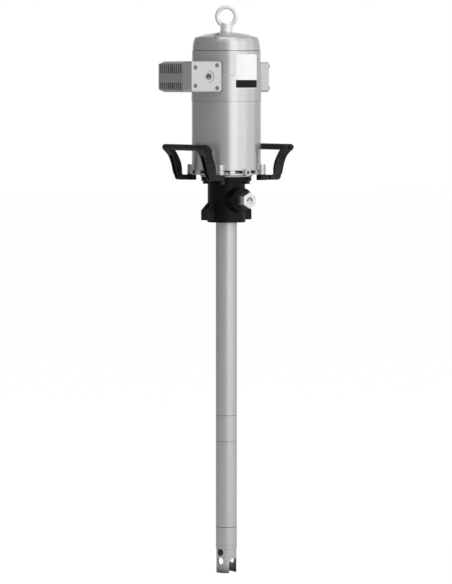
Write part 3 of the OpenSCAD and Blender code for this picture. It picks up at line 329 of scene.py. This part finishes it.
def thread_in_bore(name, port, face_y, length, material):
    """The ridge of a screw thread on the wall of a bore that runs back from a front face."""
    ridge_size = 0.00075
    pitch = 0.0015
    turn_steps = 32
    into_wall = 0.0001
    lead_in = 2.5 * pitch
    same_point = 0.000005
    bore_radius = port["dims"]["r_mm"] / 1000
    bpy.ops.object.select_all(action="DESELECT")
    bpy.ops.mesh.primitive_circle_add(vertices=3, radius=ridge_size,
                                      location=(bore_radius + into_wall - ridge_size / 2, 0, 0),
                                      rotation=(math.pi / 2, -math.pi / 2, 0))
    ridge = bpy.context.object
    ridge.name = name
    bpy.ops.object.transform_apply(location=True, rotation=True, scale=True)
    coil = ridge.modifiers.new("turns", "SCREW")
    coil.screw_offset = pitch
    coil.iterations = int(length / pitch)
    coil.steps = coil.render_steps = turn_steps
    bpy.ops.object.modifier_apply(modifier="turns")
    bpy.ops.object.mode_set(mode="EDIT")
    bpy.ops.mesh.select_all(action="SELECT")
    bpy.ops.mesh.remove_doubles(threshold=same_point)
    bpy.ops.mesh.fill_holes(sides=3)
    bpy.ops.mesh.select_all(action="SELECT")
    bpy.ops.mesh.normals_make_consistent(inside=False)
    bpy.ops.object.mode_set(mode="OBJECT")
    ridge.rotation_euler = (math.pi / 2, 0, 0)
    ridge.location = (port["pos_m"][0], face_y + length + lead_in, port["pos_m"][2])
    bpy.ops.object.transform_apply(location=True, rotation=True, scale=True)
    bpy.ops.object.shade_smooth_by_angle(angle=math.radians(35))
    ridge.data.materials.append(material)
    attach(ridge, "housing")


ports = {mount["name"]: mount for mount in frame["record"]["mounts"]}
thread_in_bore("outlet_thread", ports["grease_outlet"], face_y=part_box("outlet_fitting")[0].y, length=0.012,
               material=plated_bright)


# ---- Drum tube and pump end ----
# Zinc-plated steel tubes, turned on a lathe and screwed together, with fine lines round them.
# A narrow chamfer at both ends of each piece, with dirt and painted shade in it, shows as a thin dark seam.

# Joint line: dirt and shade in a narrow band round a piece at one height
joint_line, ins, outs = new_group("joint_line", (
    ("Colour", "Color", (0.5, 0.5, 0.5, 1)), ("Height", "Float", 0.0), ("Half Width", "Float", 0.0005),
    ("Amount", "Float", 0.5)), (("Colour", "Color"),))
place = add_node(joint_line, "ShaderNodeTexCoord")
axes = add_node(joint_line, "ShaderNodeSeparateXYZ")
away = add_node(joint_line, "ShaderNodeMath", operation="SUBTRACT")
near = add_node(joint_line, "ShaderNodeMath", operation="ABSOLUTE")
band = add_node(joint_line, "ShaderNodeMapRange", {"From Min": 0.0, "To Max": 0.0},
                interpolation_type="SMOOTHSTEP")
dark = add_node(joint_line, "ShaderNodeMix", {"B": (0.02, 0.02, 0.02, 1)}, data_type="RGBA")
join(joint_line,
     (place.outputs["Object"], axes.inputs[0]), (axes.outputs["Z"], away.inputs[0]),
     (ins.outputs["Height"], away.inputs[1]), (away.outputs[0], near.inputs[0]),
     (near.outputs[0], band.inputs["Value"]), (ins.outputs["Half Width"], band.inputs["From Max"]),
     (ins.outputs["Amount"], band.inputs["To Min"]), (band.outputs["Result"], dark.inputs["Factor"]),
     (ins.outputs["Colour"], dark.inputs["A"]), (dark.outputs["Result"], outs.inputs["Colour"]))


def joint_lines(material, rows):
    """Dark lines round a piece, each given by its height, its half width and its depth of tone."""
    tree = material.node_tree
    colour = tree.nodes["Principled BSDF"].inputs["Base Color"]
    for height, half_width, amount in rows:
        ring = add_node(tree, "ShaderNodeGroup", {"Height": height, "Half Width": half_width,
                                                  "Amount": amount}, node_tree=joint_line)
        join(tree, (colour.links[0].from_socket, ring.inputs["Colour"]), (ring.outputs["Colour"], colour))


zinc_tube = finish("zinc_tube", (0.5, 0.51, 0.51), rough=0.4, metal=0.6, stretch=(60, 60, 2600), tone=0.1,
                   spread=0.1, bump=0.04, depth=0.0001)
sleeve_low, sleeve_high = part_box("coupling_sleeve")
joint_lines(zinc_tube, [(sleeve_high.z, 0.0009, 0.75), (sleeve_low.z, 0.0009, 0.7),
                        (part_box("foot_valve_housing")[1].z, 0.0012, 0.85),
                        (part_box("inlet_foot")[1].z, 0.0006, 0.5)])
for name, node in (("long_tube", "down_tube"), ("joint_sleeve", "coupling_sleeve"),
                   ("pump_barrel", "pump_cylinder"), ("valve_housing", "foot_valve_housing")):
    dressed(name, node, "housing", zinc_tube, edge=0.0004)


# ---- Inlet foot ----
# The same steel, drilled with round holes and milled with an arched notch through front and back.
# Painted shade darkens the holes and the inside.

# Recess shade: painted shade that darkens a surface where it lies deep in a slot, bore or corner
recess_shade_group, ins, outs = new_group("painted_recess_shade", (
    ("Colour", "Color", (0.5, 0.5, 0.5, 1)), ("Reach", "Float", 0.004), ("Amount", "Float", 0.8)),
    (("Colour", "Color"), ("Mask", "Float")))
openness = add_node(recess_shade_group, "ShaderNodeAmbientOcclusion", samples=8)
deep = add_node(recess_shade_group, "ShaderNodeMapRange", {"From Min": 0.88, "From Max": 0.5})
shade_strength = add_node(recess_shade_group, "ShaderNodeMath", operation="MULTIPLY", use_clamp=True)
shaded_colour = add_node(recess_shade_group, "ShaderNodeMix", {"B": (0.012, 0.012, 0.012, 1)}, data_type="RGBA")
join(recess_shade_group,
     (ins.outputs["Reach"], openness.inputs["Distance"]), (openness.outputs["AO"], deep.inputs["Value"]),
     (deep.outputs["Result"], shade_strength.inputs[0]), (ins.outputs["Amount"], shade_strength.inputs[1]),
     (shade_strength.outputs[0], shaded_colour.inputs["Factor"]), (ins.outputs["Colour"], shaded_colour.inputs["A"]),
     (shaded_colour.outputs["Result"], outs.inputs["Colour"]), (shade_strength.outputs[0], outs.inputs["Mask"]))


def shade_recesses(material, reach, amount):
    """Painted shade in the slots, bores and corners of a finish, and less metal shine there."""
    tree = material.node_tree
    shader = tree.nodes["Principled BSDF"]
    colour = shader.inputs["Base Color"]
    metallic = shader.inputs["Metallic"]
    recess_shade = add_node(tree, "ShaderNodeGroup", {"Reach": reach, "Amount": amount}, node_tree=recess_shade_group)
    bare = add_node(tree, "ShaderNodeMapRange", {"To Min": metallic.default_value, "To Max": 0.0})
    join(tree,
         (colour.links[0].from_socket, recess_shade.inputs["Colour"]), (recess_shade.outputs["Colour"], colour),
         (recess_shade.outputs["Mask"], bare.inputs["Value"]), (bare.outputs["Result"], metallic))


zinc_foot = finish("zinc_foot", (0.49, 0.5, 0.5), rough=0.42, metal=0.6, stretch=(90, 90, 2200), tone=0.12,
                   spread=0.1, bump=0.04, depth=0.0001)
shade_recesses(zinc_foot, reach=0.03, amount=0.95)
dressed("intake_foot", "inlet_foot", "housing", zinc_foot, edge=0.0004)


# ---- Pump parts inside the tube ----
# The pump piston with its ball valve, the foot valve's seat and ball, and the rods that drive them.
# They are ground or hardened steel, with bronze seats and black rubber seals.
ground_steel = finish("ground_steel", (0.55, 0.55, 0.56), rough=0.16, metal=1.0, stretch=(80, 80, 2400),
                      tone=0.06, spread=0.06, bump=0.02, depth=0.0001)
seat_bronze = finish("seat_bronze", (0.6, 0.4, 0.18), rough=0.3, metal=1.0)
seal_rubber = finish("seal_rubber", (0.015, 0.015, 0.015), rough=0.6, metal=0.0,
                     stretch=(1200, 1200, 1200), tone=0.3, bump=0.1)


def carried(node, material):
    """A CAD piece that keeps its own mesh and gets its finish."""
    mesh = frame["nodes"][node].data
    mesh.materials.clear()
    mesh.materials.append(material)


for node in ("pump_piston", "piston_ball", "foot_ball", "ball_stop_pin", "connecting_rod", "rod_coupling"):
    carried(node, ground_steel)
for node in ("piston_valve_seat", "foot_valve_seat"):
    carried(node, seat_bronze)
carried("joint_seals", seal_rubber)


# ---- Gland in the outlet body ----
# Woven packing rings round the rod are pressed by a bronze gland nut.
# A bronze bushing and a rubber lip seal above them keep the air in the motor.
packing_yarn = finish("packing_yarn", (0.5, 0.42, 0.28), rough=0.85, metal=0.0, stretch=(1500, 1500, 1500),
                      tone=0.4, bump=0.5)
carried("packing_rings", packing_yarn)
carried("gland_nut", seat_bronze)
carried("rod_bushing", seat_bronze)
carried("rod_seal", seal_rubber)


# ---- Motor flange ----
# The lower end of the air motor: a silver painted aluminium casting with lugs and rim windows.
# The drain plug sits in the small boss at its front, and painted shade darkens the corners.
silver_casting = finish("silver_casting", (0.5, 0.505, 0.51), rough=0.36, metal=0.55,
                        stretch=(800, 800, 800), tone=0.14, bump=0.12, depth=0.0003,
                        wear_highlight=(0.7, 0.7, 0.7), amount=0.35)
shade_recesses(silver_casting, reach=0.006, amount=0.8)
dressed("flange_casting", "lower_flange", "housing", silver_casting, edge=0.0008)
dark_plug = finish("dark_plug", (0.22, 0.22, 0.225), rough=0.4, metal=0.6, stretch=(1500, 1500, 1500),
                   tone=0.2)
dressed("drain_screw", "drain_plug", "housing", dark_plug, edge=0.0003)
carried("flange_seal", seal_rubber)


# ---- Air cylinder ----
# A smooth silver painted cylinder with four bolt lugs at its foot.
# The metallic paint is even and glossy, so a tall light shows as an upright streak.
# Faint dark lines of dirt and painted shade mark its joint with the head and the edge of the head's lower
# band.
band_height = 0.0125
cylinder_paint = finish("cylinder_paint", (0.5, 0.505, 0.51), rough=0.26, metal=0.65,
                        stretch=(1400, 1400, 1400), tone=0.1, spread=0.06, bump=0.03, depth=0.0001)
cylinder_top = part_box("air_cylinder")[1].z
joint_lines(cylinder_paint, [(cylinder_top, 0.0008, 0.45), (cylinder_top + band_height, 0.0006, 0.18)])
dressed("motor_cylinder", "air_cylinder", "housing", cylinder_paint, edge=0.0007)


# ---- Air piston and its rod ----
# The piston, its rubber seal and nut on the ground rod, and the thin trip rod that shifts the valve.
# They move up and down inside the cylinder, and a rubber seal closes it under the head.
for node in ("air_piston", "piston_nut", "piston_rod", "trip_rod"):
    carried(node, ground_steel)
carried("piston_seal", seal_rubber)
carried("head_seal", seal_rubber)


# ---- Motor head ----
# The upper casting, painted as the cylinder, with flat seats for the valve block and the pilot cover.
# A step runs round it above the lower band.
dressed("head_casting", "motor_head", "housing", cylinder_paint, edge=0.0007)


# ---- Cap ----
# The domed cap closes the motor over a thin dark gasket, and four sunk screws hold it.
# The vent plug sits in a small tilted boss on its left shoulder.
dressed("domed_cap", "top_cap", "housing", cylinder_paint, edge=0.0008)
gasket_fibre = finish("gasket_fibre", (0.05, 0.05, 0.052), rough=0.7, metal=0.0, stretch=(1500, 1500, 1500),
                      tone=0.4, bump=0.2)
carried("cap_gasket", gasket_fibre)
zinc_screw = finish("zinc_screw", (0.42, 0.43, 0.45), rough=0.32, metal=0.9, stretch=(1500, 1500, 1500),
                    tone=0.15, bump=0.05)
dressed("cap_bolts", "cap_screws", "housing", zinc_screw, edge=0.0004)
dressed("vent_screw", "vent_plug", "housing", plated_bright, edge=0.0003)


# ---- Lifting eye ----
# A forged and plated eye bolt, turned a little towards the camera's left, screwed through the cap.
# Its plating is satin, and lighter than the turned steel pieces.
forged_eye = finish("forged_eye", (0.76, 0.76, 0.77), rough=0.4, metal=0.35, stretch=(700, 700, 700),
                    tone=0.1, bump=0.08)
dressed("eye_bolt", "lifting_eye", "housing", forged_eye, edge=0.0014, steps=3)


# ---- Label ----
# A printed film on the head's front: plain white with a plain black band below, and no words.
# It is glued flat on its pad, and has no rounding of its own.
label_white = finish("label_white", (0.86, 0.86, 0.86), rough=0.6, metal=0.0, stretch=(300, 300, 300),
                     tone=0.03, spread=0.05, bump=0.02, shine=0.2)
band_low = 0.2672
band_high = 0.2825
tree = label_white.node_tree
place = add_node(tree, "ShaderNodeTexCoord")
axes = add_node(tree, "ShaderNodeSeparateXYZ")
above = add_node(tree, "ShaderNodeMath", {1: band_low}, operation="GREATER_THAN")
below = add_node(tree, "ShaderNodeMath", {1: band_high}, operation="LESS_THAN")
inside = add_node(tree, "ShaderNodeMath", operation="MULTIPLY")
ink = add_node(tree, "ShaderNodeMix", {"B": (0.004, 0.004, 0.004, 1)}, data_type="RGBA")
colour = tree.nodes["Principled BSDF"].inputs["Base Color"]
join(tree,
     (place.outputs["Object"], axes.inputs[0]), (axes.outputs["Z"], above.inputs[0]),
     (axes.outputs["Z"], below.inputs[0]), (above.outputs[0], inside.inputs[0]),
     (below.outputs[0], inside.inputs[1]), (inside.outputs[0], ink.inputs["Factor"]),
     (colour.links[0].from_socket, ink.inputs["A"]), (ink.outputs["Result"], colour))
dressed("label_film", "label_plate", "housing", label_white)


# ---- Valve block ----
# A silver painted block on the motor's left side, on a gasket, with an end plate at its rear.
# The spool with its seals slides in it from front to rear.
block_paint = finish("block_paint", (0.52, 0.525, 0.53), rough=0.36, metal=0.5, stretch=(800, 800, 800),
                     tone=0.14, bump=0.12, depth=0.0003, wear_highlight=(0.75, 0.75, 0.75), amount=0.35)
dressed("valve_casting", "valve_block", "housing", block_paint, edge=0.0008)
dressed("end_plate", "rear_plate", "housing", block_paint, edge=0.0008)
dressed("end_screws", "rear_screws", "housing", zinc_screw, edge=0.0004)
carried("block_gasket", gasket_fibre)
carried("valve_spool", ground_steel)
carried("spool_seals", seal_rubber)


# ---- Inlet block ----
# The bright front block, machined from cast aluminium, with the threaded air inlet in its face.
# The outline of its face is well rounded, and four bright screws hold it to the valve block.
bright_metal = finish("bright_block", (0.5, 0.5, 0.505), rough=0.42, metal=0.7, tone=0.08, bump=0.1,
                      wear_highlight=(0.75, 0.75, 0.75), amount=0.35)
# Painted shade darkens the inlet bore, the screw recesses and the block's corners.
shade_recesses(bright_metal, reach=0.005, amount=0.7)
block_low, block_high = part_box("inlet_block")
block_corner = 0.006
rim_rounding = 0.0026


def on_block_rim(point):
    """Whether a point lies on the outline of the block's front face, whose corners are round."""
    off_face = 0.00002
    off_outline = 0.00015
    out = [abs(point[i] - (block_low[i] + block_high[i]) / 2) - (block_high[i] - block_low[i]) / 2
           + block_corner for i in (0, 2)]
    beyond = math.hypot(max(out[0], 0), max(out[1], 0)) + min(max(out), 0) - block_corner
    return abs(point[1] - block_low[1]) < off_face and abs(beyond) < off_outline


def round_block_rim(piece):
    """Rounds the outline of the block's front face, as far as its screw holes leave room."""
    picked = [on_block_rim(vertex.co) for vertex in piece.data.vertices]
    bpy.ops.object.mode_set(mode="EDIT")
    bpy.ops.mesh.select_mode(type="EDGE")
    bpy.ops.mesh.select_all(action="DESELECT")
    bpy.ops.object.mode_set(mode="OBJECT")
    for mesh_edge in piece.data.edges:
        mesh_edge.select = all(picked[i] for i in mesh_edge.vertices)
    bpy.ops.object.mode_set(mode="EDIT")
    bpy.ops.mesh.bevel(offset=rim_rounding, segments=4, profile=0.5, affect="EDGES", clamp_overlap=True)
    bpy.ops.mesh.select_mode(type="VERT")
    bpy.ops.object.mode_set(mode="OBJECT")


dressed("air_inlet_block", "inlet_block", "housing", bright_metal, edge=0.0006,
        shaped=round_block_rim)
bright_screw = finish("bright_screw", (0.2, 0.2, 0.205), rough=0.3, metal=0.95, stretch=(1500, 1500, 1500),
                      tone=0.08)
dressed("inlet_bolts", "inlet_screws", "housing", bright_screw, edge=0.0004)
thread_in_bore("inlet_thread", ports["air_inlet"], face_y=block_low.y, length=0.012, material=bright_screw)


# ---- Silencer cover ----
# A grey die-cast cover with two rows of slots, over a dark foam pad that quietens the exhaust.
# Dark screws hold it, and painted shade darkens the slots.
cover_paint = finish("cover_paint", (0.31, 0.315, 0.32), rough=0.42, metal=0.3, tone=0.14, bump=0.12,
                     depth=0.0003, wear_highlight=(0.6, 0.6, 0.6))
shade_recesses(cover_paint, reach=0.009, amount=0.95)
dressed("slotted_cover", "silencer_cover", "housing", cover_paint, edge=0.0006)
dressed("cover_bolts", "silencer_screws", "housing", dark_plug, edge=0.0004)
silencer_foam = finish("silencer_foam", (0.008, 0.008, 0.009), rough=0.95, metal=0.0,
                       stretch=(500, 500, 500), tone=0.6, bump=0.8, depth=0.001)
carried("silencer_pad", silencer_foam)


# ---- Pilot cover ----
# The light cover on the right side, machined as the inlet block, with round corners and four sunk screws.
# It closes the pilot valves over a gasket.
dressed("pilot_casting", "pilot_cover", "housing", bright_metal, edge=0.0012, steps=3)
carried("pilot_gasket", gasket_fibre)
dressed("pilot_bolts", "pilot_screws", "housing", bright_screw, edge=0.0004)


# ---- Handles ----
# Two black castings, each with two hollow-sided arms and a bar, bolted up under the flange's lugs.
# A black plastic sleeve covers the middle of each bar, and the bolts are black too.
black_handle = finish("black_handle_paint", (0.005, 0.005, 0.0055), rough=0.34, metal=0.0,
                      stretch=(600, 600, 600), tone=0.4, spread=0.2, bump=0.35, depth=0.0005,
                      wear_highlight=(0.06, 0.06, 0.06), shine=0.2)
black_grip = finish("black_grip", (0.01, 0.01, 0.011), rough=0.44, metal=0.0, stretch=(1100, 1100, 1100),
                    tone=0.3, bump=0.2, shine=0.3)
for hand in ("left", "right"):
    dressed(hand + "_handle_casting", hand + "_handle", "housing", black_handle,
            edge=0.0012, steps=3)
    dressed(hand + "_sleeve", hand + "_grip", "housing", black_grip, edge=0.0005)
dressed("handle_screws", "handle_bolts", "housing", black_screw, edge=0.0004)
